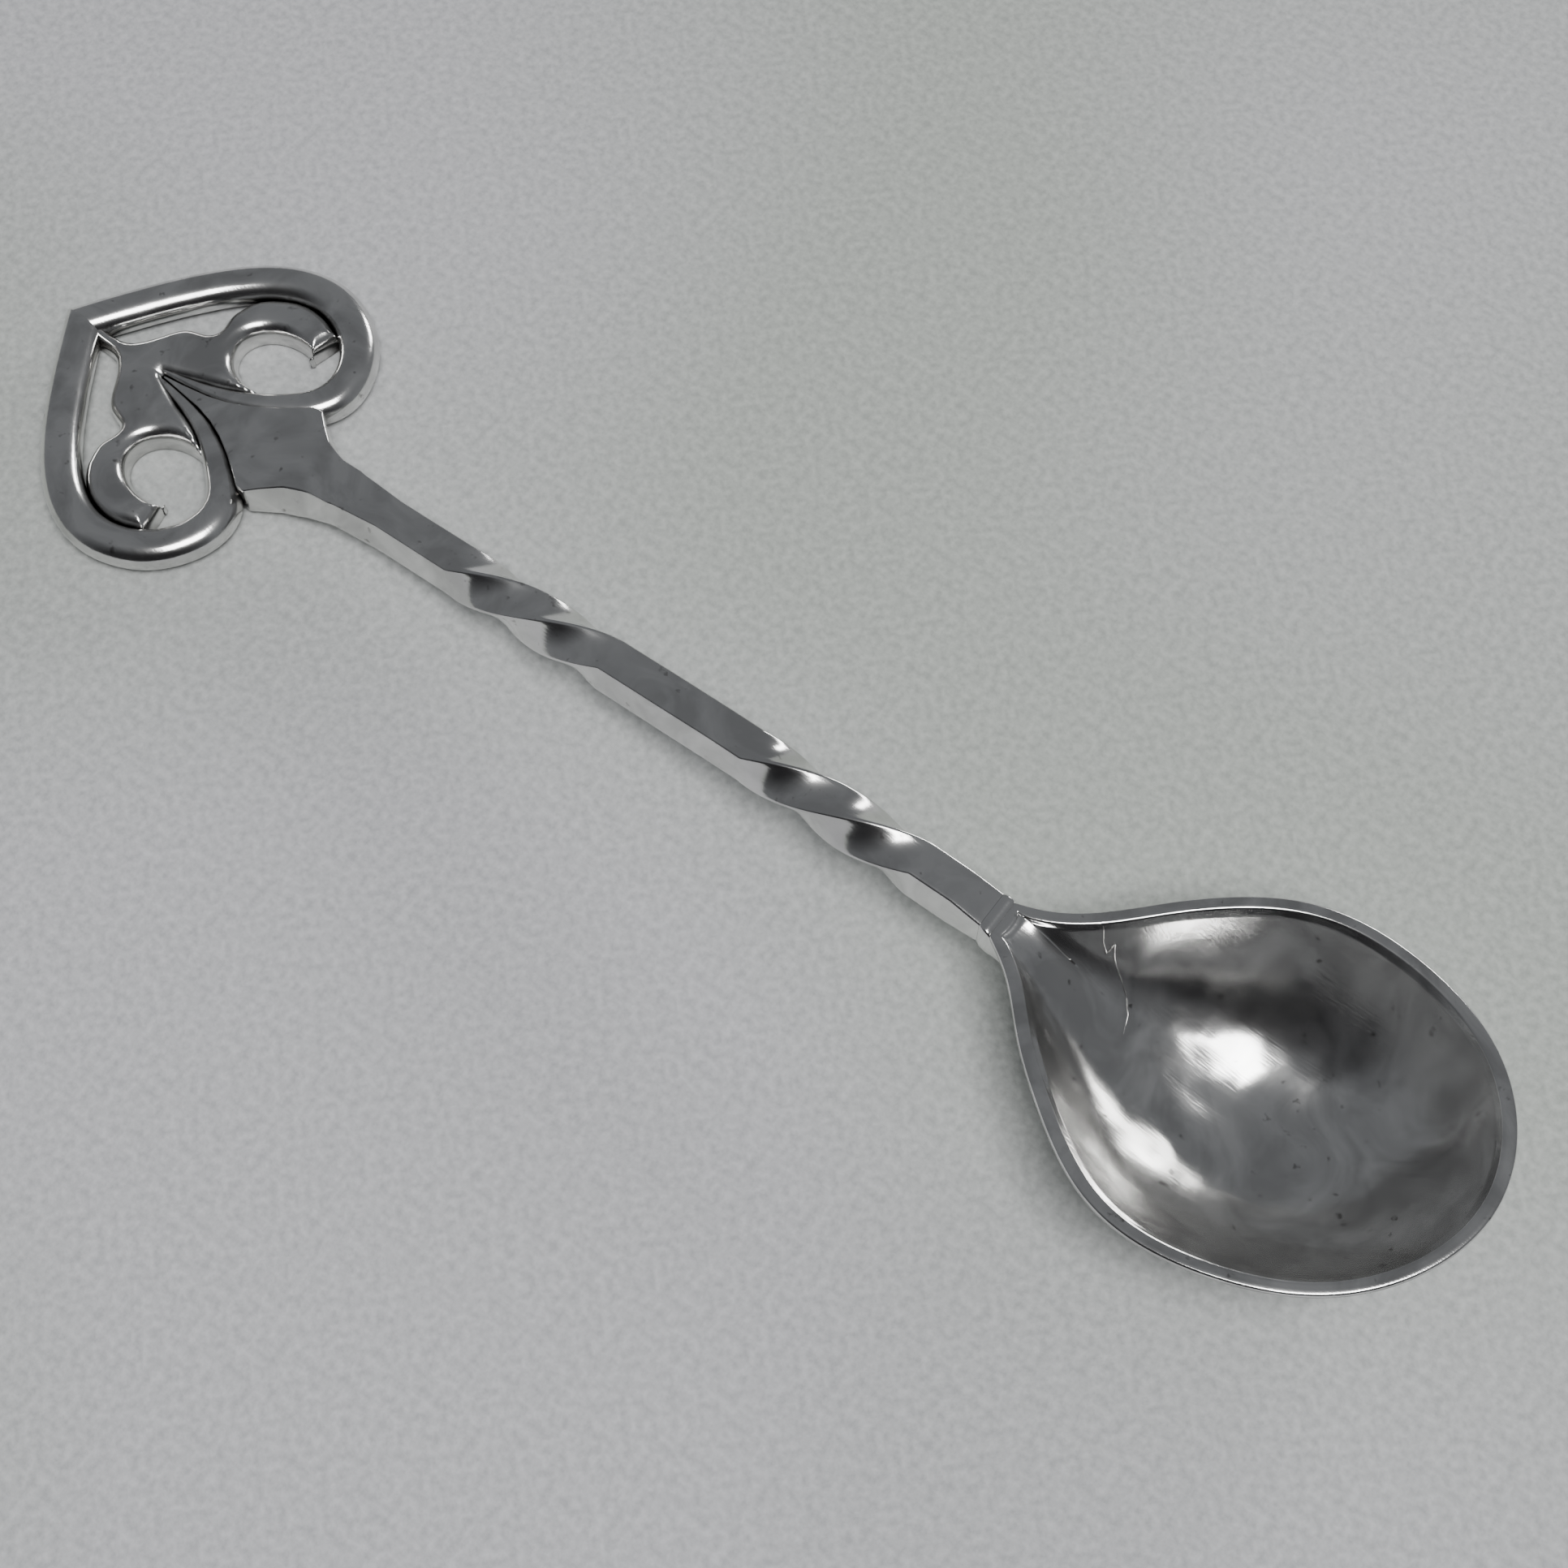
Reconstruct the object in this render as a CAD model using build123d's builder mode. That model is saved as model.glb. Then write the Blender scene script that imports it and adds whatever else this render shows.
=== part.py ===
from build123d import *
import math
import os

# Souvenir spoon of wrought silver, laid down with its bowl up: a deep bowl on a
# square handle with two twisted stretches, and an openwork heart at the far end.
# +X runs from the heart to the tip of the bowl, +Y is its left side, +Z is up.
# The origin is under the middle of its length, on the surface it lies on.
# All sizes are in millimetres.

# Overall.
overall_length = 147.8
tip_x = overall_length / 2

# Bar of the handle: a square bar, its two twisted stretches and its rise.
bar_start_x = -38.7
bar_end_x = 30.0
bar_size = 3.6
bar_start_width = 4.4
bar_height = 3.4
bar_end_size = 3.5
bar_start_z = 3.35
bar_end_z = 8.1
rise_end_x = 14.0
level_slope = 0.012
bar_roll = 8.0
plain_bar_x = -34.0
rolled_bar_x = 27.0
twist_turn = 180.0
twists = ((-26.0, -9.0), (6.0, 23.0))
twist_steps = 12

# Bowl: outline of its rim, depth, wall and where the neck is joined to it.
bowl_centre_x = 56.0
bowl_pitch = 4.3
rim_z = 11.7
bowl_wall = 1.2
bowl_floor = 1.1
seam_x = 37.6
neck_end_x = 31.0
hollow_end_x = 33.2
rim_half_widths = (
    (34.2, 3.5),
    (37.6, 6.5),
    (41.6, 10.2),
    (47.6, 14.4),
    (54.0, 16.0),
    (61.7, 14.8),
    (67.8, 11.7),
    (72.1, 6.6),
)
neck_half_width = 1.75
hollow_half_width = 1.5
heel_z = 5.5
heel_width = 4.0
heel_height = 1.8
bowl_sway = 0.07
bowl_offset = 1.05
bowl_levels = (1.0, 0.94, 0.86, 0.74, 0.58, 0.4, 0.2)
bowl_roundness = 2.6
oval_length = 35.2
oval_width = 31.2
oval_from_level = 0.5

# Heart: a scrolled wire on each side, a leaf between them and a curl in each lobe.
wire_width = 3.7
wire_height = 3.3
wire_rounding = 1.2
wire_route = (
    (-72.7, -1.5, 1.0),
    (-70.5, 2.1, 1.0),
    (-67.5, 6.6, 1.0),
    (-65.4, 9.4, 1.0),
    (-63.3, 11.8, 1.0),
    (-60.7, 14.0, 1.0),
    (-57.6, 15.5, 1.0),
    (-54.3, 15.7, 1.0),
    (-51.0, 14.4, 1.0),
    (-48.7, 12.0, 1.0),
    (-47.7, 9.0, 1.0),
    (-48.3, 6.6, 0.95),
    (-49.9, 4.9, 0.84),
    (-52.2, 3.3, 0.7),
    (-55.0, 1.9, 0.54),
    (-58.4, 1.0, 0.35),
    (-62.3, 0.35, 0.12),
)
plate_height = 3.0
eye_x = -54.4
eye_y = 7.2
eye_length = 8.4
eye_width = 6.4
notch = (-61.6, 6.2)
leaf_root_x = -71.5
leaf_root_corner = (-70.8, 0.65)
cleft_x = -61.9
leaf_edge = ((-69.2, 0.65), (-67.2, 0.85), (-65.9, 1.9), (-64.7, 3.7), (-63.4, 5.3))
curl_back = ((-61.2, 7.2), (-61.4, 8.6), (-61.1, 10.3))
lobe_x = -55.6
lobe_y = 7.9
lobe_radius = 7.0
curl_angles = (150, 120, 90, 65)
curl_snub = ((-51.9, 12.7), (-52.9, 9.4))

# Shoulder: a plate that widens from the bar into the cleft of the heart.
shoulder_edge = ((-41.5, 2.6), (-43.8, 3.3), (-45.8, 4.4), (-47.4, 5.9))
shoulder_top_slope = 0.118
shoulder_bottom_slope = 0.146


def bar_angle(x):
    """Roll of the square bar about its own length, in degrees."""
    angle = -bar_roll
    for start, end in twists:
        share = min(max((x - start) / (end - start), 0.0), 1.0)
        angle -= twist_turn * share
    return angle


def bar_z(x):
    """Height of the bar's middle: a steady rise that levels off towards the bowl."""
    rise = bar_end_z - bar_start_z - level_slope * (bar_end_x - rise_end_x)
    steep = (rise - level_slope * rise_end_x / 2) / (rise_end_x / 2 - bar_start_x)
    if x < 0:
        return bar_start_z + steep * (x - bar_start_x)
    if x < rise_end_x:
        eased = steep * x + (level_slope - steep) * x * x / (2 * rise_end_x)
        return bar_start_z - steep * bar_start_x + eased
    return bar_end_z - level_slope * (bar_end_x - x)


def across(x, z):
    """Plane square to the handle's length at x, its own x axis pointing along +Y."""
    return Plane(origin=(x, 0, z), x_dir=(0, 1, 0), z_dir=(1, 0, 0))


def centre_y(x):
    """Middle line of the bowl, which sits a little askew on the handle."""
    if x < seam_x:
        return -bowl_offset * (x - bar_end_x) / (seam_x - bar_end_x)
    return -bowl_offset + bowl_sway * (x - seam_x)


def rim_points(inset, start_x, start_half_width):
    """Points round the rim, from the left of the neck by the tip to its right."""
    left = [(start_x, centre_y(start_x) + start_half_width)]
    right = [(start_x, centre_y(start_x) - start_half_width)]
    for x, half_width in rim_half_widths:
        inner_x = x
        if x > bowl_centre_x:
            inner_x -= inset * (x - bowl_centre_x) / (tip_x - bowl_centre_x)
        left.append((inner_x, centre_y(x) + half_width - inset))
        right.append((inner_x, centre_y(x) - half_width + inset))
    return left + [(tip_x - inset, centre_y(tip_x))] + right[::-1]


def oval_points(outline):
    """A plain oval with one point for each point of the rim, evenly matched."""
    travelled = [0.0]
    for before, after in zip(outline, outline[1:]):
        travelled.append(travelled[-1] + math.dist(before, after))
    whole = travelled[-1] + math.dist(outline[-1], outline[0])
    middle = travelled[-1] / 2
    points = []
    for distance in travelled:
        angle = 2 * math.pi * (middle - distance) / whole
        x = oval_length / 2 * math.cos(angle)
        y = oval_width / 2 * math.sin(angle)
        points.append((bowl_centre_x + x, centre_y(bowl_centre_x) + y))
    return points


def scoop_section(outline, share, depth):
    """Sketch of one level of the bowl: shrunk, lowered and rounder as it deepens."""
    tilt = math.radians(bowl_pitch * share)
    level = Plane(
        origin=(bowl_centre_x, 0, rim_z - depth),
        x_dir=(math.cos(tilt), 0, math.sin(tilt)),
        z_dir=(-math.sin(tilt), 0, math.cos(tilt)),
    )
    middle_y = centre_y(bowl_centre_x)
    ease = min((1 - share) / (1 - oval_from_level), 1)
    rounded = ease * ease * (3 - 2 * ease)
    points = []
    for (x, y), (oval_x, oval_y) in zip(outline, oval_points(outline)):
        level_x = x + (oval_x - x) * rounded - bowl_centre_x
        level_y = y + (oval_y - y) * rounded - middle_y
        points.append((level_x * share, middle_y + level_y * share))
    with BuildSketch(level) as section:
        with BuildLine():
            Spline(*points)
            Line(points[-1], points[0])
        make_face()
    return section.sketch


def scoop_levels(inset, start_x, start_half_width, full_depth):
    """Sketches of every level of the bowl, from the rim down to its flat bottom."""
    outline = rim_points(inset, start_x, start_half_width)
    flat_depth = 1 - bowl_levels[-1] ** bowl_roundness
    sections = []
    for share in bowl_levels:
        depth = full_depth * (1 - share**bowl_roundness) / flat_depth
        sections.append(scoop_section(outline, share, depth))
    return sections


def wire_plan(side):
    """Plan of one scrolled wire: a band of changing width along its route."""
    outer = []
    inner = []
    last = len(wire_route) - 1
    for index, (x, y, share) in enumerate(wire_route):
        before = wire_route[max(index - 1, 0)]
        after = wire_route[min(index + 1, last)]
        run = math.hypot(after[0] - before[0], after[1] - before[1])
        sideways_x = -(after[1] - before[1]) / run * wire_width / 2 * share
        sideways_y = (after[0] - before[0]) / run * wire_width / 2 * share
        outer.append((x + sideways_x, side * (y + sideways_y)))
        inner.append((x - sideways_x, side * (y - sideways_y)))
    with BuildSketch() as plan:
        with BuildLine():
            Spline(*outer)
            Line(outer[-1], inner[-1])
            Spline(*inner[::-1])
            Line(inner[0], outer[0])
        make_face()
        with Locations((lobe_x, -side * lobe_y)):
            Rectangle(overall_length, 2 * lobe_y, mode=Mode.SUBTRACT)
    return plan.sketch


def flipped(points, side):
    """The same plan points on the left (+1) or the right (-1) side."""
    return [(x, side * y) for x, y in points]


# Bowl and neck are the two ends of one raised scoop, parted at the seam.
outer_levels = scoop_levels(0, neck_end_x, neck_half_width, rim_z)
hollow_levels = scoop_levels(
    bowl_wall, hollow_end_x, hollow_half_width, rim_z - bowl_floor
)
seam = Plane(origin=(seam_x, 0, 0), z_dir=(1, 0, 0))

with BuildPart() as bowl:
    loft(outer_levels)
    loft(hollow_levels, mode=Mode.SUBTRACT)
    split(bisect_by=seam, keep=Keep.TOP)
    split(bisect_by=Plane.XY, keep=Keep.TOP)
bowl.part.label = "bowl"

# The neck is the scoop's narrow end, thickened below into the end of the bar.
with BuildPart() as bowl_neck:
    loft(outer_levels)
    split(bisect_by=seam, keep=Keep.BOTTOM)
    with BuildSketch(across(bar_end_x, bar_end_z)) as bar_end:
        Rectangle(bar_end_size, bar_end_size)
    with BuildSketch(across(seam_x, heel_z)) as heel_end:
        with Locations((-bowl_offset, 0)):
            Rectangle(heel_width, heel_height)
    loft([bar_end.sketch, heel_end.sketch], ruled=True)
    loft(hollow_levels, mode=Mode.SUBTRACT)
bowl_neck.part.label = "bowl_neck"

# Handle: a square bar, with straight stretches between the twisted ones.
with BuildPart() as shank:
    straights = (
        (bar_start_x, plain_bar_x, twists[0][0]),
        (twists[0][1], twists[1][0]),
        (twists[1][1], rolled_bar_x, bar_end_x),
    )
    for stations in straights:
        sections = []
        for x in stations:
            roll = bar_angle(x)
            width = bar_size
            height = bar_size
            if x == bar_start_x:
                roll = 0
                width = bar_start_width
                height = bar_height
            if x == bar_end_x:
                roll = -2 * twist_turn
                width = bar_end_size
                height = bar_end_size
            with BuildSketch(across(x, bar_z(x))) as section:
                Rectangle(width, height, rotation=roll)
            sections.append(section.sketch)
        loft(sections, ruled=True)
    for start, end in twists:
        sections = []
        for step in range(twist_steps + 1):
            x = start + (end - start) * step / twist_steps
            with BuildSketch(across(x, bar_z(x))) as section:
                Rectangle(bar_size, bar_size, rotation=bar_angle(x))
            sections.append(section.sketch)
        loft(sections)
shank.part.label = "shank"

# Scrolled wires, mitred together at the point of the heart, rounded on the outside.
wire_plans = (wire_plan(1), wire_plan(-1))

with BuildPart() as left_scroll_wire:
    extrude(wire_plans[0], amount=wire_height)
    top_edges = left_scroll_wire.edges().group_by(Axis.Z)[-1]
    fillet(top_edges.sort_by(SortBy.LENGTH)[-1], wire_rounding)
left_scroll_wire.part.label = "left_scroll_wire"

with BuildPart() as right_scroll_wire:
    extrude(wire_plans[1], amount=wire_height)
    top_edges = right_scroll_wire.edges().group_by(Axis.Z)[-1]
    fillet(top_edges.sort_by(SortBy.LENGTH)[-1], wire_rounding)
right_scroll_wire.part.label = "right_scroll_wire"

arm_route = [(x, y) for x, y, share in wire_route[12:16]]

# Leaf in the middle of the heart, from its point to the inner side of both eyes.
with BuildPart() as leaf:
    with BuildSketch() as leaf_plan:
        for side in (1, -1):
            with BuildLine():
                edge = Line(*flipped([(leaf_root_x, 0), leaf_root_corner], side))
                wave = Spline(edge @ 1, *flipped(leaf_edge + (notch,), side))
                inner_edge = [(eye_x, eye_y), *arm_route, (cleft_x, 0), (leaf_root_x, 0)]
                Polyline(wave @ 1, *flipped(inner_edge, side))
            make_face()
        for side in (1, -1):
            with Locations((eye_x, side * eye_y)):
                Ellipse(eye_length / 2, eye_width / 2, mode=Mode.SUBTRACT)
        add(wire_plans, mode=Mode.SUBTRACT)
    extrude(amount=plate_height)
leaf.part.label = "leaf"

# Curls that carry on from the leaf round each eye and stop in a snub end.
curls = {}
for name, side in (("left_curl", 1), ("right_curl", -1)):
    with BuildPart() as curl:
        with BuildSketch() as curl_plan:
            arc = [
                (
                    lobe_x + lobe_radius * math.cos(math.radians(angle)),
                    lobe_y + lobe_radius * math.sin(math.radians(angle)),
                )
                for angle in curl_angles
            ]
            with BuildLine():
                back = Spline(*flipped((notch,) + curl_back, side))
                Polyline(back @ 1, *flipped(arc, side))
                Polyline(*flipped([arc[-1], *curl_snub, (eye_x, eye_y), notch], side))
            make_face()
            with Locations((eye_x, side * eye_y)):
                Ellipse(eye_length / 2, eye_width / 2, mode=Mode.SUBTRACT)
            add(wire_plans, mode=Mode.SUBTRACT)
        extrude(amount=plate_height)
    curl.part.label = name
    curls[name] = curl

# Shoulder plate between the bar and the heart, let into the cleft.
with BuildPart() as shoulder:
    with BuildSketch() as shoulder_plan:
        for side in (1, -1):
            with BuildLine():
                root = (bar_start_x, bar_start_width / 2)
                flare = Spline(
                    *flipped((root,) + shoulder_edge, side),
                    tangents=[(-1, 0), (-1, side)],
                )
                Polyline(flare @ 1, *flipped(arm_route, side), (cleft_x, 0))
                Polyline((cleft_x, 0), (bar_start_x, 0), flare @ 0)
            make_face()
        add(wire_plans, mode=Mode.SUBTRACT)
    extrude(amount=2 * plate_height)
    end_top = bar_start_z + bar_height / 2
    end_bottom = bar_start_z - bar_height / 2
    top = Plane(origin=(bar_start_x, 0, end_top), z_dir=(-shoulder_top_slope, 0, 1))
    bottom = Plane(
        origin=(bar_start_x, 0, end_bottom), z_dir=(-shoulder_bottom_slope, 0, 1)
    )
    split(bisect_by=top, keep=Keep.BOTTOM)
    split(bisect_by=bottom, keep=Keep.TOP)
shoulder.part.label = "shoulder"

os.makedirs("parts", exist_ok=True)
export_step(bowl.part, "parts/bowl.step")
export_step(bowl_neck.part, "parts/bowl_neck.step")
export_step(shank.part, "parts/shank.step")
export_step(shoulder.part, "parts/shoulder.step")
export_step(left_scroll_wire.part, "parts/left_scroll_wire.step")
export_step(right_scroll_wire.part, "parts/right_scroll_wire.step")
export_step(leaf.part, "parts/leaf.step")
export_step(curls["left_curl"].part, "parts/left_curl.step")
export_step(curls["right_curl"].part, "parts/right_curl.step")
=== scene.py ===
# %% [markdown]
# # A wrought silver souvenir spoon
# The spoon lies on its back on a pale cloth, bowl up. A silversmith made it from a
# few pieces of silver: a raised bowl, a square bar twisted in two places, and an
# openwork heart of scrolled wire at the end. The cells below make them in turn.

# %% Open the frame
import math

import bmesh
import bpy
import numpy as np
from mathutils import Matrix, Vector, geometry, noise


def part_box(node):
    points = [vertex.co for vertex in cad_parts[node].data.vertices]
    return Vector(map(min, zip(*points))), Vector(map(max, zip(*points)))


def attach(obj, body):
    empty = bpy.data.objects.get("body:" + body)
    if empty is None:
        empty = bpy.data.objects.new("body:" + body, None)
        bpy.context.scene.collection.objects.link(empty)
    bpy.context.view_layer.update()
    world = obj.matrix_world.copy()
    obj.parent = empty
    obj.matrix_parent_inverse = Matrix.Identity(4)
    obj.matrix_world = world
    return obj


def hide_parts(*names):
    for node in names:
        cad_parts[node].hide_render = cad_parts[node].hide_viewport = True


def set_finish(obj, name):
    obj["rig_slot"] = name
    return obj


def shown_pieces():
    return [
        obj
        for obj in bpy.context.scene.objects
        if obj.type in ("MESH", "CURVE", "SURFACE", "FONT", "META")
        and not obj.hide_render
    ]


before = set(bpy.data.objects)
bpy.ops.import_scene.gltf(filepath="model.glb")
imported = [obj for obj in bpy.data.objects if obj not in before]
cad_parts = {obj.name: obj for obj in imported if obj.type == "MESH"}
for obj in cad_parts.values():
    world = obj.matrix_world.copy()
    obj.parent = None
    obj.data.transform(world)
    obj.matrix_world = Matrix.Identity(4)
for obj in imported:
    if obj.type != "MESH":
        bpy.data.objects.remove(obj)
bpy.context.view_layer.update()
MM = 0.001

# %% [markdown]
# ## Where things are
# Every size is in millimetres. The pieces of the solid model say where the bar
# starts and ends, where the heart's point is and how far the bowl reaches.

# %% Measure the frame
def corners(node):
    """Lowest and highest corner of a node of the solid model, in millimetres."""
    low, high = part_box(node)
    return np.array(low) / MM, np.array(high) / MM


bar_low, bar_high = corners("shank")
wire_low, wire_high = corners("left_scroll_wire")
bowl_tip_x = corners("bowl")[1][0]
seam_x = corners("bowl_neck")[1][0]
plate_top = corners("leaf")[1][2]
heart_tip_x = wire_low[0]
print("heart tip", round(heart_tip_x, 2), "bowl tip", round(bowl_tip_x, 2))

# %% [markdown]
# ## Smooth lines through a few points
# A smith draws a curve with a few marks and joins them by eye. A natural cubic
# spline does the same: it passes through each mark and bends as little as it can.

# %% Smooth curves
spans_per_mark = 24


def smooth_curve(points, step):
    """Points about one step apart on the natural cubic spline through the marks."""
    marks = np.array(points, float)
    runs = np.linalg.norm(np.diff(marks[:, :2], axis=0), axis=1)
    along = np.concatenate([[0.0], np.cumsum(np.sqrt(runs))])
    count = len(marks)
    gaps = np.diff(along)
    matrix = np.eye(count)
    right = np.zeros_like(marks)
    for i in range(1, count - 1):
        matrix[i, i - 1] = gaps[i - 1]
        matrix[i, i] = 2 * (gaps[i - 1] + gaps[i])
        matrix[i, i + 1] = gaps[i]
        rise = (marks[i + 1] - marks[i]) / gaps[i]
        right[i] = 6 * (rise - (marks[i] - marks[i - 1]) / gaps[i - 1])
    bend = np.linalg.solve(matrix, right)
    pieces = []
    for i in range(count - 1):
        share = np.linspace(0, 1, spans_per_mark, endpoint=False)[:, None]
        here = along[i] + share * gaps[i]
        a = (along[i + 1] - here) / gaps[i]
        b = 1 - a
        bent = ((a**3 - a) * bend[i] + (b**3 - b) * bend[i + 1]) * gaps[i] ** 2 / 6
        pieces.append(a * marks[i] + b * marks[i + 1] + bent)
    dense = np.vstack(pieces + [marks[-1:]])
    return even_steps(dense, step)


def even_steps(dense, step):
    """The same line with points an even step apart."""
    runs = np.linalg.norm(np.diff(dense[:, :2], axis=0), axis=1)
    travelled = np.concatenate([[0.0], np.cumsum(runs)])
    count = max(int(round(travelled[-1] / step)), 2)
    stops = np.linspace(0, travelled[-1], count + 1)
    return np.stack([np.interp(stops, travelled, column) for column in dense.T], 1)


def flipped(points, side):
    """The same plan points on the left (+1) or the right (-1) of the spoon."""
    swap = np.array(points, float).copy()
    swap[:, 1] *= side
    return swap


print("smooth curves ready")

# %% [markdown]
# ## Turning points into pieces
# Each piece is a closed skin of small faces. Rings of points make bars and wires,
# and a triangulated outline makes plates with rounded edges.

# %% Mesh helpers
end_tightness = 0.01
edge_angles = (12, 24, 36, 48, 60, 75, 90)
plate_grain = 0.3
row_spacing = 0.87


def make_piece(name, verts, faces, nodes, slot):
    """A closed mesh, smooth shaded, that stands for nodes of the solid model."""
    mesh = bpy.data.meshes.new(name)
    mesh.from_pydata([tuple(v * MM) for v in verts], [], [tuple(map(int, f)) for f in faces])
    mesh.validate()
    skin = bmesh.new()
    skin.from_mesh(mesh)
    bmesh.ops.recalc_face_normals(skin, faces=skin.faces[:])
    skin.to_mesh(mesh)
    skin.free()
    piece = bpy.data.objects.new(name, mesh)
    bpy.context.scene.collection.objects.link(piece)
    mesh.polygons.foreach_set("use_smooth", [True] * len(mesh.polygons))
    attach(piece, "root")
    if nodes:
        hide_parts(*nodes)
    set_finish(piece, slot)
    return piece


def ring_faces(ring_count, ring_size):
    """Four-sided faces that join each ring of points to the next one."""
    faces = []
    for i in range(ring_count - 1):
        here = i * ring_size
        there = here + ring_size
        for j in range(ring_size):
            k = (j + 1) % ring_size
            faces.append((here + j, here + k, there + k, there + j))
    return faces


def skin_rings(rings):
    """Points and faces of a solid bar through rings of points, closed at both ends.

    A second ring lies close to each end, so that the shading turns sharply there."""
    rings = np.asarray(rings, float)
    second = rings[0] + (rings[1] - rings[0]) * end_tightness
    before_last = rings[-1] + (rings[-2] - rings[-1]) * end_tightness
    rings = np.concatenate([rings[:1], [second], rings[1:-1], [before_last], rings[-1:]])
    ring_count, ring_size = rings.shape[:2]
    verts = rings.reshape(-1, 3)
    faces = ring_faces(ring_count, ring_size)
    start, end = len(verts), len(verts) + 1
    verts = np.vstack([verts, rings[0].mean(0), rings[-1].mean(0)])
    last_ring = (ring_count - 1) * ring_size
    for j in range(ring_size):
        k = (j + 1) % ring_size
        faces.append((start, k, j))
        faces.append((end, last_ring + j, last_ring + k))
    return verts, faces


def inside(points, loops):
    """Which points lie inside the outline made of these loops, holes counted out."""
    crossings = np.zeros(len(points), int)
    for loop in loops:
        a, b = loop, np.roll(loop, -1, axis=0)
        for p, q in zip(a, b):
            spans = (p[1] > points[:, 1]) != (q[1] > points[:, 1])
            if not spans.any():
                continue
            cut = (q[0] - p[0]) * (points[:, 1] - p[1]) / (q[1] - p[1]) + p[0]
            crossings += spans & (points[:, 0] < cut)
    return crossings % 2 == 1


def edge_distance(points, loops):
    """Distance of each point from the nearest edge of the outline."""
    nearest = np.full(len(points), 1e9)
    for loop in loops:
        for p, q in zip(loop, np.roll(loop, -1, axis=0)):
            run = q - p
            share = np.clip((points - p) @ run / max(run @ run, 1e-12), 0, 1)
            gap = points - (p + share[:, None] * run)
            nearest = np.minimum(nearest, np.einsum("ij,ij->i", gap, gap))
    return np.sqrt(nearest)


def unpinched(plan, triangles):
    """The same triangles without slivers that hang on by a corner only."""
    while True:
        sides = np.sort(triangles[:, [[0, 1], [1, 2], [2, 0]]], axis=2)
        pairs, where, uses = np.unique(
            sides.reshape(-1, 2), axis=0, return_inverse=True, return_counts=True
        )
        border = pairs[uses == 1]
        meetings = np.bincount(border.ravel(), minlength=len(plan))
        open_sides = (uses[where.reshape(-1, 3)] == 1).sum(axis=1)
        loose = np.where((meetings[triangles] > 2).any(axis=1) & (open_sides >= 2))[0]
        if len(loose) == 0:
            return triangles
        a, b, c = (plan[triangles[loose, i]] for i in range(3))
        ab, ac = b - a, c - a
        area = np.abs(ab[:, 0] * ac[:, 1] - ab[:, 1] * ac[:, 0])
        triangles = np.delete(triangles, loose[np.argmin(area)], axis=0)


def plate(loops, top, bottom, rounding, under_rounding):
    """A plate cut to an outline, with rounded upper and lower edges.

    top and bottom give the height of each face at plan points."""
    border = np.vstack(loops)
    edges, start = [], 0
    for loop in loops:
        size = len(loop)
        edges += [(start + i, start + (i + 1) % size) for i in range(size)]
        start += size
    low, high = border.min(0), border.max(0)
    xs = np.arange(low[0], high[0], plate_grain)
    ys = np.arange(low[1], high[1], plate_grain * row_spacing)
    shift = plate_grain / 2
    grid = np.array([(x + (j % 2) * shift, y) for j, y in enumerate(ys) for x in xs])
    grid = grid[inside(grid, loops)]
    grid = grid[edge_distance(grid, loops) > rounding * 1.02]
    rows = [grid]
    for angle in edge_angles:
        inset = rounding * (1 - math.cos(math.radians(angle)))
        for loop in loops:
            ahead = np.roll(loop, -1, axis=0) - np.roll(loop, 1, axis=0)
            ahead /= np.linalg.norm(ahead, axis=1)[:, None] + 1e-12
            normal = np.stack([-ahead[:, 1], ahead[:, 0]], 1)
            for way in (1, -1):
                row = loop + normal * inset * way
                row = row[inside(row, loops)]
                if len(row):
                    rows.append(row[edge_distance(row, loops) > inset * 0.985])
    flat = np.vstack([border] + rows)
    result = geometry.delaunay_2d_cdt([Vector(p) for p in flat], edges, [], 0, 1e-6)
    plan = np.array([tuple(v) for v in result[0]])
    triangles = np.array([f for f in result[2] if len(f) == 3])
    centres = plan[triangles].mean(1)
    triangles = unpinched(plan, triangles[inside(centres, loops)])
    used = np.unique(triangles)
    renumber = np.full(len(plan), -1)
    renumber[used] = np.arange(len(used))
    plan, triangles = plan[used], renumber[triangles]
    depth = edge_distance(plan, loops)
    rise = np.clip(depth, 0, rounding)
    drop = rounding - np.sqrt(np.maximum(rounding**2 - (rounding - rise) ** 2, 0))
    dip = np.clip(depth, 0, under_rounding)
    lift = under_rounding - np.sqrt(
        np.maximum(under_rounding**2 - (under_rounding - dip) ** 2, 0)
    )
    upper = np.column_stack([plan, top(plan, depth) - drop])
    lower = np.column_stack([plan, bottom(plan, depth) + lift])
    return close_plate(plan, triangles, upper, lower)


def close_plate(plan, triangles, upper, lower):
    """Joins a plate's upper and lower face by a wall round every open edge."""
    count = len(plan)
    a, b, c = plan[triangles[:, 0]], plan[triangles[:, 1]], plan[triangles[:, 2]]
    turn = (b[:, 0] - a[:, 0]) * (c[:, 1] - a[:, 1]) - (b[:, 1] - a[:, 1]) * (c[:, 0] - a[:, 0])
    triangles = np.where(turn[:, None] > 0, triangles, triangles[:, ::-1])
    directed = {}
    for t in triangles:
        for i in range(3):
            directed[(t[i], t[(i + 1) % 3])] = True
    faces = [tuple(t) for t in triangles] + [tuple(t[::-1] + count) for t in triangles]
    for p, q in directed:
        if (q, p) not in directed:
            faces.append((q, p, p + count, q + count))
    return np.vstack([upper, lower]), faces


print("mesh helpers ready")

# %% [markdown]
# ## The square bar
# The handle is one square bar, filed from a little over three and a half
# millimetres. The smith held it in two vices and turned it half a turn twice, so
# its four edges run over the top like the stripes on a rope, and left it square
# between. Filing leaves the edges slightly soft and the faces slightly wavy.

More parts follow.
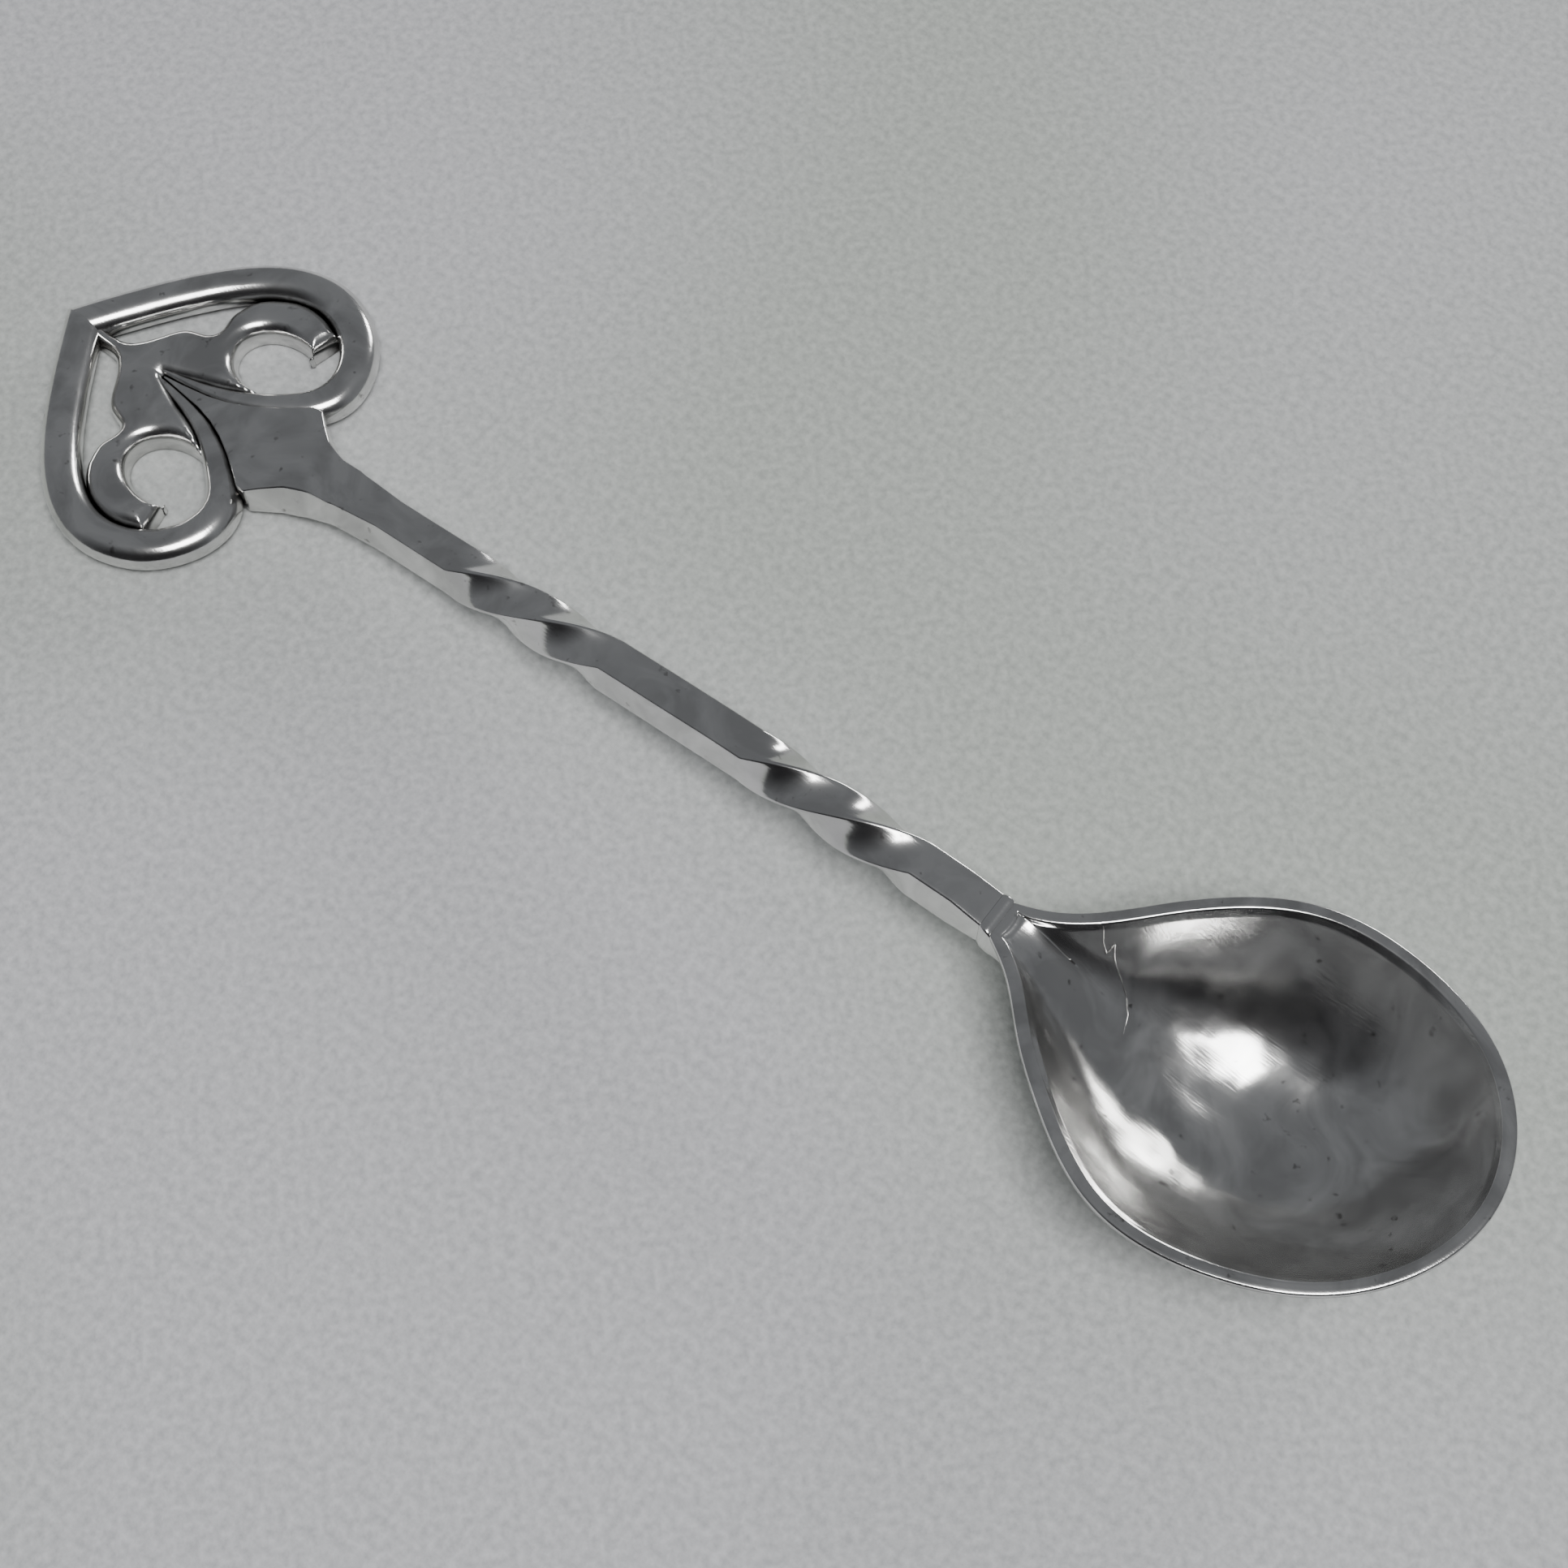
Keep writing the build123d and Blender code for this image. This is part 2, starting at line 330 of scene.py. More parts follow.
# %% Handle bar
bar_start_x, bar_end_x = bar_low[0], bar_high[0]
bar_half = 1.8
bar_start_half = (2.2, 1.7)
bar_end_half = 1.75
bar_start_z = bar_low[2] + bar_start_half[1]
bar_rise = 4.75
bar_end_z = bar_start_z + bar_rise
bar_level_x = 14.0
bar_level_slope = 0.012
bar_roll = 8.0
twists = ((-26.0, -9.0), (6.0, 23.0))
twist_turn = 180.0
bar_edge = 0.28
bar_steps = 300
start_blend = 4.5
end_blend = 3.0
file_wave = 0.05
file_wave_length = 7.0


def bar_turn(x):
    """Roll of the bar about its length, in degrees."""
    angle = -bar_roll
    for start, end in twists:
        share = np.clip((x - start) / (end - start), 0, 1)
        angle = angle - twist_turn * share
    return angle


def bar_height(x):
    """Height of the bar's middle: it climbs from the heart and levels off."""
    rise = bar_end_z - bar_start_z - bar_level_slope * (bar_end_x - bar_level_x)
    climb = bar_level_x / 2 - bar_start_x
    steep = (rise - bar_level_slope * bar_level_x / 2) / climb
    if x < 0:
        return bar_start_z + steep * (x - bar_start_x)
    if x < bar_level_x:
        eased = steep * x + (bar_level_slope - steep) * x * x / (2 * bar_level_x)
        return bar_start_z - steep * bar_start_x + eased
    return bar_end_z - bar_level_slope * (bar_end_x - x)


def square_ring(half_width, half_height, edge, count=10):
    """Outline of a square bar with soft edges, as (sideways, up) points."""
    quarter = math.pi / 2
    quadrants = ((1, 1), (-1, 1), (-1, -1), (1, -1))

    def rounded_corner(corner, turn):
        side, level = quadrants[corner]
        return (
            side * (half_width - edge) + edge * math.cos(turn),
            level * (half_height - edge) + edge * math.sin(turn),
        )

    points = []
    for corner in range(4):
        for i in range(5):
            points.append(rounded_corner(corner, quarter * corner + quarter * i / 4))
        following = (corner + 1) % 4
        start = np.array(points[-1])
        end = np.array(rounded_corner(following, quarter * following))
        for i in range(1, count):
            points.append(tuple(start + (end - start) * i / count))
    return np.array(points)


def wobble(x, y, z, size, amount):
    """Soft hand-made unevenness: smooth noise of a given size."""
    return amount * noise.noise(Vector((x / size, y / size, z / size)))


def bar_rings():
    """Rings of points along the bar, each turned and lifted to its place."""
    rings = []
    step = (bar_end_x - bar_start_x) / bar_steps
    for x in np.arange(bar_start_x, bar_end_x + step / 100, step):
        near_start = np.clip((x - bar_start_x) / start_blend, 0, 1)
        near_end = np.clip((x - bar_end_x + end_blend) / end_blend, 0, 1)
        half_width = bar_start_half[0] + (bar_half - bar_start_half[0]) * near_start
        half_height = bar_start_half[1] + (bar_half - bar_start_half[1]) * near_start
        half_width += (bar_end_half - bar_half) * near_end
        half_height += (bar_end_half - bar_half) * near_end
        half_width += wobble(x, 0, 5, file_wave_length, file_wave)
        half_height += wobble(x, 9, 0, file_wave_length, file_wave)
        turn = math.radians(bar_turn(x) + (bar_roll * near_end))
        section = square_ring(half_width, half_height, bar_edge)
        y = section[:, 0] * math.cos(turn) - section[:, 1] * math.sin(turn)
        z = section[:, 0] * math.sin(turn) + section[:, 1] * math.cos(turn)
        rings.append(np.stack([np.full(len(y), x), y, z + bar_height(x)], 1))
    return rings


verts, faces = skin_rings(bar_rings())
make_piece("twisted_bar", verts, faces, ["shank"], "handle_silver")
print("bar points", len(verts))

# %% [markdown]
# ## The scrolled wires
# Each half of the heart is one heavy wire, bent round a stake into a lobe and
# drawn down to a thin point that lies in the cleft. The two halves are cut to a
# mitre where they meet at the heart's point, and the section stays nearly round.

# %% Scrolled wires
wire_half = 1.85
wire_step = 0.2
wire_squareness = 2.05
mitre_clear = 1.5
wire_route = (
    (0.0, 0.0, 1.0),
    (3.4, 2.1, 1.0),
    (6.4, 6.6, 1.0),
    (8.5, 9.4, 1.0),
    (10.6, 11.8, 1.0),
    (13.2, 14.0, 1.0),
    (16.3, 15.5, 1.0),
    (19.6, 15.7, 1.0),
    (22.9, 14.4, 1.0),
    (25.2, 12.0, 1.0),
    (26.2, 9.0, 1.0),
    (25.6, 6.6, 0.95),
    (24.0, 4.9, 0.84),
    (21.7, 3.3, 0.7),
    (18.9, 1.9, 0.54),
    (15.5, 1.0, 0.35),
    (11.6, 0.35, 0.12),
)
wire_apex = 2.1
wire_rise = wire_high[2] / 2


def wire_line(step):
    """The wire's middle line in plan with its share of the full width."""
    marks = np.array(wire_route)
    marks[0, 0] = wire_apex
    marks[:, 0] += heart_tip_x
    return smooth_curve(marks, step)


def rounded_wave(values):
    """A cosine or sine made a little squarer, for the section of a wire."""
    return np.sign(values) * np.abs(values) ** (2 / wire_squareness)


def wire_rings(side):
    """Rings of points along one scrolled wire, mitred at the heart's point."""
    line = wire_line(wire_step)
    ahead = np.gradient(line[:, :2], axis=0)
    ahead /= np.linalg.norm(ahead, axis=1)[:, None]
    rings = []
    angles = np.radians(np.arange(0, 360, 9))
    for i, (x, y, share) in enumerate(line):
        if 0 < i * wire_step < mitre_clear:
            continue
        normal = np.array([-ahead[i, 1], ahead[i, 0]])
        share += wobble(x, side * y, 3.0, 4.0, 0.03)
        across = rounded_wave(np.cos(angles)) * wire_half * min(share, 1.0)
        upward = rounded_wave(np.sin(angles)) * wire_rise * (0.5 + 0.5 * min(share, 1.0))
        px = x + normal[0] * across
        py = y + normal[1] * across
        if i == 0:
            slide = -py / ahead[i, 1]
            px, py = px + ahead[i, 0] * slide, py + ahead[i, 1] * slide
        rings.append(np.stack([px, py * side, wire_rise + upward], 1))
    return rings if side < 0 else [r[::-1] for r in rings]


for name, side in (("left_scroll", 1), ("right_scroll", -1)):
    verts, faces = skin_rings(wire_rings(side))
    make_piece(name, verts, faces, [name + "_wire"], "heart_silver")
print("wire points", len(verts))

# %% [markdown]
# ## The leaf and its curls
# A leaf of thick sheet fills the middle of the heart. Its edge waves, and at each
# side it carries on as a curl that goes round an open eye and ends in a snub. The
# edges are well rounded by the polishing mop.

# %% Leaf and curls
dome_reach = 2.4
eye = (19.5, 7.2)
eye_half = (4.2, 3.2)
leaf_wave = (
    (4.7, 0.65),
    (6.7, 0.85),
    (8.0, 1.9),
    (9.2, 3.7),
    (10.5, 5.3),
    (12.2, 6.0),
    (12.8, 6.9),
    (12.5, 8.6),
    (12.8, 10.3),
)
lobe = (18.3, 7.9)
lobe_inner = 6.1
curl_angles = np.arange(150, 66, -4)
curl_snub = ((22.0, 13.0), (21.2, 9.6))
eye_angles = np.arange(62, 318, 4)
leaf_root = (3.2, 0.65)
cleft = (12.2, 0.0)
arm_marks = (13, 15)
arm_overlap = 0.25
leaf_rounding = 1.05
leaf_back_rounding = 0.3
leaf_dome = 0.55
face_wave = 0.22
face_wave_length = 3.6
outline_step = 0.12


def heart_plan(points):
    """Plan points measured from the heart's point, moved into the frame."""
    moved = np.array(points, float).copy()
    moved[:, 0] += heart_tip_x
    return moved


def arm_side():
    """Inner side of the scrolled wire where the leaf's thin arm lies against it."""
    line = wire_line(0.25)
    ahead = np.gradient(line[:, :2], axis=0)
    ahead /= np.linalg.norm(ahead, axis=1)[:, None]
    normal = np.stack([ahead[:, 1], -ahead[:, 0]], 1)
    reach = wire_half * line[:, 2] - arm_overlap
    side_line = line[:, :2] + normal * reach[:, None]
    start, end = [
        int(np.argmin(np.linalg.norm(line[:, :2] - mark, axis=1)))
        for mark in heart_plan(np.array(wire_route)[list(arm_marks), :2])
    ]
    return side_line[start : end + 1]


def oval_arc(middle, half_size, angles):
    """Points on an oval in the heart, by angle in degrees about its middle."""
    turns = np.radians(angles)
    x = middle[0] + half_size[0] * np.cos(turns)
    y = middle[1] + half_size[1] * np.sin(turns)
    return heart_plan(np.stack([x, y], 1))


def soft_height(level, amount, size, seed, dome=0.0):
    """A face with soft unevenness that falls away by the dome towards its edge."""
    def height(plan, depth):
        waves = [wobble(x, y, seed, size, amount) for x, y in plan]
        fall = dome * (1 - np.clip(depth / dome_reach, 0, 1)) ** 2
        return level + np.array(waves) - fall
    return height


def tidy_loop(points):
    """A closed loop with no doubled points and even short steps."""
    loop = np.vstack([points, points[:1]])
    keep = np.concatenate([[True], np.linalg.norm(np.diff(loop, axis=0), axis=1) > 1e-4])
    return even_steps(loop[keep], outline_step)[:-1]


def leaf_half():
    """Left half of the leaf's edge: wavy side, curl, eye and the thin arm."""
    root = heart_plan([leaf_root])
    wave = smooth_curve(heart_plan(leaf_wave), outline_step)
    rim = oval_arc(lobe, (lobe_inner, lobe_inner), curl_angles)
    snub = heart_plan(curl_snub)
    return np.vstack([root, wave, rim, snub, oval_arc(eye, eye_half, eye_angles), arm_side()])


def leaf_outline():
    """The leaf's whole edge, both halves, with the cleft between them."""
    half = leaf_half()
    return tidy_loop(np.vstack([half, heart_plan([cleft]), flipped(half[::-1], -1)]))


verts, faces = plate(
    [leaf_outline()],
    soft_height(plate_top, face_wave, face_wave_length, 2.0, leaf_dome),
    soft_height(0.0, 0.0, face_wave_length, 2.0),
    leaf_rounding,
    leaf_back_rounding,
)
make_piece("leaf_and_curls", verts, faces, ["leaf", "left_curl", "right_curl"], "heart_silver")
print("leaf and curls made")

# %% [markdown]
# ## The shoulder
# The end of the bar is hammered out into a thin flaring plate, which is let into
# the cleft of the heart and soldered along both wires.

# %% Shoulder
flare_x = -46.6
shoulder_spread = (
    (-61.6, 0.1),
    (-56.7, 0.7),
    (-54.7, 1.2),
    (-52.7, 2.0),
    (-50.7, 3.1),
    (-48.9, 4.3),
    (-47.6, 5.2),
    (flare_x, 5.3),
    (-45.6, 4.6),
    (-43.8, 3.45),
    (-41.5, 2.65),
    (-38.7, 2.2),
)
shoulder_top_slope = 0.118
shoulder_bottom_slope = 0.146
facet_slant = 0.4
shoulder_steps = 120
cloth_gap = 0.02


def shoulder_rings():
    """Rings from the thin tip in the cleft to the square end of the bar."""
    marks = np.array(shoulder_spread)
    rings = []
    for x in np.linspace(marks[0, 0], bar_start_x, shoulder_steps):
        half_width = np.interp(x, marks[:, 0], marks[:, 1])
        near_bar = np.clip((x - flare_x) / (bar_start_x - flare_x), 0, 1)
        back = bar_start_x - x
        high = bar_start_z + bar_start_half[1] - shoulder_top_slope * back
        low = bar_start_z - bar_start_half[1] - shoulder_bottom_slope * back
        low = max(low, cloth_gap)
        half_height = (high - low) / 2
        edge = min(bar_edge, half_width * 0.8)
        section = square_ring(half_width, half_height, edge)
        slant = facet_slant * math.sin(math.pi * min(near_bar * 1.1, 1)) * section[:, 1]
        sideways = section[:, 0] - np.sign(section[:, 0]) * slant / half_height
        upward = section[:, 1] + wobble(x, 4, 4, 5.0, 0.05)
        turn = math.radians(-bar_roll * near_bar)
        y = sideways * math.cos(turn) - upward * math.sin(turn)
        z = sideways * math.sin(turn) + upward * math.cos(turn) + (high + low) / 2
        rings.append(np.stack([np.full(len(y), x), y, z], 1))
    return rings


verts, faces = skin_rings(shoulder_rings())
make_piece("shoulder_plate", verts, faces, ["shoulder"], "handle_silver")
print("shoulder points", len(verts))

# %% [markdown]
# ## The bowl
# The bowl is raised: a disc of sheet is hammered over a stake until it is a deep
# egg-shaped cup, narrow towards the handle. Its rim stays thick and is planished
# flat, and the inside keeps soft hammer marks under its polish.

# %% Bowl and neck
bowl_centre_x = 56.0
bowl_pitch = 4.3
rim_z = 11.7
rim_width = 1.2
bowl_floor = 1.1
bowl_roundness = 2.6
oval_length = 35.2
oval_width = 31.2
oval_from_level = 0.5
hollow_start_x = 32.4
neck_ease = 1.35
rim_marks = (
    (31.0, 1.75),
    (34.2, 3.5),
    (37.6, 6.5),
    (41.6, 10.2),
    (47.6, 14.4),
    (54.0, 16.0),
    (61.7, 14.8),
    (67.8, 11.7),
    (72.1, 6.6),
)
bowl_offset = 1.05
bowl_sway = 0.07
under_gap = 0.03
outside_shares = np.linspace(0.04, 0.985, 40)
inside_shares = np.linspace(0.985, 0.02, 90)
rim_profile = (
    (0.5, 0.0),
    (0.2, 0.03),
    (0.06, 0.09),
    (0.0, 0.24),
    (0.0, 0.5),
    (0.0, 0.8),
    (0.0, 0.96),
    (0.06, 1.1),
    (0.2, 1.17),
)
hammer_marks = ((1.0, 4.5, 0.11), (7.0, 2.2, 0.06))


def centre_y(x):
    """Middle line of the bowl, which sits a little askew."""
    early = -bowl_offset * (x - bar_end_x) / (seam_x - bar_end_x)
    late = -bowl_offset + bowl_sway * (x - seam_x)
    return np.where(x < seam_x, early, late)


def rim_outline(inset):
    """Closed outline of the rim, moved inwards by a distance."""
    marks = np.array(rim_marks)
    left = np.stack([marks[:, 0], centre_y(marks[:, 0]) + marks[:, 1]], 1)
    right = np.stack([marks[:, 0], centre_y(marks[:, 0]) - marks[:, 1]], 1)
    tip = np.array([[bowl_tip_x, float(centre_y(bowl_tip_x))]])
    curve = smooth_curve(np.vstack([left, tip, right[::-1]]), 0.35)
    back = np.linspace(curve[-1], curve[0], 8)[1:-1]
    loop = even_steps(np.vstack([curve, back, curve[:1]]), 0.4)[:-1]
    ahead = np.roll(loop, -1, axis=0) - np.roll(loop, 1, axis=0)
    ahead /= np.linalg.norm(ahead, axis=1)[:, None]
    inward = np.stack([ahead[:, 1], -ahead[:, 0]], 1)
    for _ in range(6):
        inward = (np.roll(inward, 1, axis=0) + inward + np.roll(inward, -1, axis=0)) / 3
    return loop + inward * inset


def rim_height(x):
    """Height of the planished rim: it rises gently to the tip."""
    return rim_z + math.tan(math.radians(bowl_pitch)) * (x - bowl_centre_x)


def oval_outline(outline):
    """A plain oval with one point for each point of the rim, evenly matched."""
    step = np.linalg.norm(np.roll(outline, -1, axis=0) - outline, axis=1)
    travelled = np.concatenate([[0.0], np.cumsum(step)[:-1]]) / step.sum()
    tip = travelled[int(np.argmax(outline[:, 0]))]
    angle = 2 * math.pi * (tip - travelled)
    x = bowl_centre_x + oval_length / 2 * np.cos(angle)
    y = float(centre_y(bowl_centre_x)) + oval_width / 2 * np.sin(angle)
    return np.stack([x, y], 1)


def scoop_level(outline, share, depth):
    """One ring of the bowl's skin: the outline shrunk, lowered and rounder."""
    middle = np.array([bowl_centre_x, float(centre_y(bowl_centre_x))])
    ease = min((1 - share) / (1 - oval_from_level), 1)
    rounded = ease * ease * (3 - 2 * ease)
    plan = outline + (oval_outline(outline) - outline) * rounded
    plan = middle + (plan - middle) * share
    z = rim_z + (rim_height(plan[:, 0]) - rim_z) * share
    z -= depth * (1 - share**bowl_roundness)
    return np.column_stack([plan, z])


def keel_depth(x):
    """Depth of the hollow along its middle line: easy at the neck, steep at the tip."""
    back = np.clip((bowl_centre_x - x) / (bowl_centre_x - hollow_start_x), 0, 1)
    front = np.clip((x - bowl_centre_x) / (bowl_tip_x - rim_width - bowl_centre_x), 0, 1)
    return (1 - back**2) ** neck_ease * (1 - front**bowl_roundness)


def trough_level(outline, share):
    """One ring inside the hollow: its height comes from a smooth trough."""
    ring = scoop_level(outline, share, 0.0)
    x, y = ring[:, 0], ring[:, 1]
    upper = outline[outline[:, 1] > centre_y(outline[:, 0])]
    upper = upper[np.argsort(upper[:, 0])]
    half = np.interp(x, upper[:, 0], upper[:, 1]) - centre_y(x)
    sideways = np.clip(np.abs(y - centre_y(x)) / np.maximum(half, 0.2), 0, 1)
    depth = keel_depth(x) * (1 - sideways**bowl_roundness) * (rim_z - bowl_floor)
    ring[:, 2] = rim_height(x) - depth
    return ring


def rim_band():
    """Rings over the thick rim, each a distance down and a distance in."""
    band = []
    for drop, inset in rim_profile:
        plan = rim_outline(inset)
        band.append(np.column_stack([plan, rim_height(plan[:, 0]) - drop]))
    return band


def scoop_skin():
    """Rings of the whole scoop: up the outside, over the rim, down the inside."""
    outer = rim_outline(0.0)
    inner = rim_outline(rim_width)
    rings = [scoop_level(outer, share, rim_z - under_gap) for share in outside_shares]
    rings += rim_band()
    for share in inside_shares:
        ring = trough_level(inner, share)
        for point in ring:
            for seed, size, height in hammer_marks:
                point[2] += wobble(point[0], point[1], seed, size, height)
        rings.append(ring)
    return rings


verts, faces = skin_rings(scoop_skin())
verts[:, 2] = np.maximum(verts[:, 2], 0.0)
scoop = make_piece("bowl_cup", verts, faces, ["bowl"], "bowl_silver")
print("bowl points", len(verts))


# %% [markdown]
# ## The neck and its joints
# The cup's narrow end is soldered to the bar over a solid heel, with a small bead
# round the joint. Where a seam inside was filled, a thin jagged line still shows.

# %% Neck, seam and heel
def cut_copy(source, name, keep_high):
    """A copy of a piece, cut square across at the seam and closed again."""
    copy = source.copy()
    copy.data = source.data.copy()
    copy.name = name
    bpy.context.scene.collection.objects.link(copy)
    bm = bmesh.new()
    bm.from_mesh(copy.data)
    result = bmesh.ops.bisect_plane(
        bm,
        geom=bm.verts[:] + bm.edges[:] + bm.faces[:],
        plane_co=(seam_x * MM, 0, 0),
        plane_no=(1, 0, 0),
        clear_inner=keep_high,
        clear_outer=not keep_high,
    )
    rim_edges = [e for e in result["geom_cut"] if isinstance(e, bmesh.types.BMEdge)]
    bmesh.ops.holes_fill(bm, edges=rim_edges)
    for edge in rim_edges:
        edge.smooth = False
    bm.to_mesh(copy.data)
    bm.free()
    return copy


solder_route = (
    (37.9, 4.0),
    (38.5, 3.4),
    (39.1, 3.1),
    (39.2, 4.0),
    (39.8, 3.3),
    (40.9, 2.8),
    (42.1, 2.2),
    (43.0, 1.2),
    (43.5, -0.2),
)
solder_step = 0.15
solder_half = 0.07
solder_ripple = 0.03
solder_height = 0.035


def solder_rings():
    """Rings along the thin line of solder, laid on the hollow from above."""
    rings = []
    line = even_steps(np.array(solder_route), solder_step)
    last = len(line) - 1
    for index, (x, y) in enumerate(line):
        above = Vector((x, y, 40)) * MM
        spot, facing = scoop.ray_cast(above, Vector((0, 0, -1)))[1:3]
        ahead = line[min(index + 1, last)] - line[max(index - 1, 0)]
        ahead /= np.linalg.norm(ahead)
        across = Vector((-ahead[1], ahead[0], 0))
        across = (across - facing * across.dot(facing)).normalized()
        fade = min(index / 8, (last - index) / 12, 1)
        half = (solder_half + solder_ripple * math.sin(index * 0.9)) * (0.3 + 0.7 * fade)
        ring = []
        for turn in np.linspace(0, 2 * math.pi, 9)[:-1]:
            out = across * math.cos(turn) * half + facing * (math.sin(turn) * solder_height)
            ring.append(np.array(spot) / MM + np.array(out))
        rings.append(np.array(ring))
    return rings


bpy.context.view_layer.update()
verts, faces = skin_rings(solder_rings())
make_piece("solder_line", verts, faces, [], "bowl_silver")

neck = cut_copy(scoop, "bowl_neck_plate", False)
bowl = cut_copy(scoop, "raised_bowl", True)
bpy.data.objects.remove(scoop)
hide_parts("bowl_neck")
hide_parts("bowl")

heel_marks = (
    (30.02, 9.85, 6.35, 1.75),
    (30.2, 9.93, 6.27, 1.84),
    (30.5, 9.98, 6.22, 1.9),
    (30.9, 9.96, 6.2, 1.92),
    (31.3, 9.6, 6.2, 1.9),
    (31.8, 8.8, 6.2, 1.8),
    (33.0, 7.9, 6.15, 1.75),
    (34.5, 7.0, 6.0, 1.6),
    (36.0, 6.5, 5.85, 1.3),
    (37.5, 6.2, 5.7, 0.8),
)
heel_edge = 0.3


def heel_rings():
    """Rings of the solid heel, each from (x, top, bottom, half width)."""
    rings = []
    for x, top, bottom, half_width in heel_marks:
        section = square_ring(half_width, (top - bottom) / 2, heel_edge)
        sideways = section[:, 0] + float(centre_y(x))
        upward = section[:, 1] + (top + bottom) / 2
        rings.append(np.stack([np.full(len(section), x), sideways, upward], 1))
    return rings


verts, faces = skin_rings(heel_rings())
make_piece("neck_heel", verts, faces, [], "bowl_silver")
print("heel points", len(verts))

# %% [markdown]
# ## Silver
# Polished silver is almost a mirror. What makes it look handled are thin
# scratches, a slightly cloudy polish, and dark tarnish that the cloth never
# reaches, in the joins and inside the curls. That darkening comes from occlusion,
# so it is also painted shade in every recess and where the silver nears the cloth.

# %% Silver finishes
white = (1, 1, 1)


def noise_of(tree, place, scale, detail, distortion=0.0):
    """Soft noise over a surface, with its scale in waves per metre."""
    texture = tree.nodes.new("ShaderNodeTexNoise")
    texture.inputs["Scale"].default_value = scale
    texture.inputs["Detail"].default_value = detail
    texture.inputs["Distortion"].default_value = distortion
    tree.links.new(place, texture.inputs["Vector"])
    return texture.outputs["Fac"]


def ramp_of(tree, value, low, low_colour, high, high_colour):
    """A colour that goes from one to another while a value rises from low to high."""
    colours = tree.nodes.new("ShaderNodeValToRGB")
    start, end = colours.color_ramp.elements
    start.position = low
    start.color = (*low_colour, 1)
    end.position = high
    end.color = (*high_colour, 1)
    tree.links.new(value, colours.inputs["Fac"])
    return colours.outputs["Color"]


def product_of(tree, first, second, share=1.0):
    """Two colours multiplied, the second one laid on by a share."""
    blend = tree.nodes.new("ShaderNodeMix")
    blend.data_type = "RGBA"
    blend.blend_type = "MULTIPLY"
    blend.inputs["Factor"].default_value = share
    tree.links.new(first, blend.inputs["A"])
    tree.links.new(second, blend.inputs["B"])
    return blend.outputs["Result"]


def bump_of(tree, height, strength, distance, over=None):
    """A surface that rises and falls with a value, over another bump if given."""
    bump = tree.nodes.new("ShaderNodeBump")
    bump.inputs["Strength"].default_value = strength
    bump.inputs["Distance"].default_value = distance
    tree.links.new(height, bump.inputs["Height"])
    if over:
        tree.links.new(over, bump.inputs["Normal"])
    return bump.outputs["Normal"]


def tarnish_and_painted_shade_of(tree, place, reach):
    """Bright silver that darkens raggedly in joins closer than the reach: tarnish, and painted
    shade laid by occlusion in recesses and near the cloth.
    """
    # Painted shade: occlusion darkens the base colour in joins, eye walls and near the cloth,
    # as well as standing for tarnish.
    crevice = tree.nodes.new("ShaderNodeAmbientOcclusion")
    crevice.inputs["Distance"].default_value = reach
    crevice.samples = 8
    lowered = tree.nodes.new("ShaderNodeMath")
    lowered.operation = "SUBTRACT"
    lowered.inputs[1].default_value = 0.25
    tree.links.new(crevice.outputs["AO"], lowered.inputs[0])
    uneven = tree.nodes.new("ShaderNodeMath")
    uneven.operation = "MULTIPLY_ADD"
    uneven.inputs[1].default_value = 0.5
    tree.links.new(noise_of(tree, place, 700.0, 4.0), uneven.inputs[0])
    tree.links.new(lowered.outputs["Value"], uneven.inputs[2])
    # Near-black tarnish and painted shade where occlusion is strong, bright silver in the open.
    dark, bright = (0.06, 0.05, 0.045), (0.80, 0.795, 0.78)
    return ramp_of(tree, uneven.outputs["Value"], 0.18, dark, 0.6, bright)


def silver(name, roughness, tarnish_and_shade_reach, scratch, mottle):
    """A polished silver with cloudiness, tarnish with painted shade from occlusion, pits, haze,
    scratches and dents.
    """
    material = bpy.data.materials.new(name)
    material.use_nodes = True
    tree = material.node_tree
    shader = tree.nodes["Principled BSDF"]
    shader.inputs["Metallic"].default_value = 1.0
    place = tree.nodes.new("ShaderNodeTexCoord").outputs["Object"]

    rough = tree.nodes.new("ShaderNodeMapRange")
    rough.inputs["To Min"].default_value = roughness * 0.6
    rough.inputs["To Max"].default_value = roughness * 1.6
    tree.links.new(noise_of(tree, place, 180.0, 5.0), rough.inputs["Value"])
    tree.links.new(rough.outputs["Result"], shader.inputs["Roughness"])

    # Base colour: tarnish and painted shade in occluded places, then random pits and haze.
    metal = tarnish_and_painted_shade_of(tree, place, tarnish_and_shade_reach)
    specks = noise_of(tree, place, 900.0, 3.0)
    pits = ramp_of(tree, specks, 0.24, (0.25, 0.24, 0.23), 0.34, white)
    haze = noise_of(tree, place, 150.0, 6.0, 1.4)
    patches = ramp_of(tree, haze, 0.36, (1 - mottle,) * 3, 0.62, white)
    worn_with_painted_shade = product_of(tree, product_of(tree, metal, pits, 0.7), patches)
    tree.links.new(worn_with_painted_shade, shader.inputs["Base Color"])

    stretch = tree.nodes.new("ShaderNodeMapping")
    stretch.inputs["Scale"].default_value = (500.0, 6000.0, 2000.0)
    stretch.inputs["Rotation"].default_value = (0.2, 0.1, 0.5)
    tree.links.new(place, stretch.inputs["Vector"])
    lines = noise_of(tree, stretch.outputs["Vector"], 1.0, 4.0)
    scratches = bump_of(tree, lines, scratch, 0.00001)
    dents = noise_of(tree, place, 260.0, 2.0)
    surface = bump_of(tree, dents, 0.5, 0.00008, scratches)
    tree.links.new(surface, shader.inputs["Normal"])
    return material


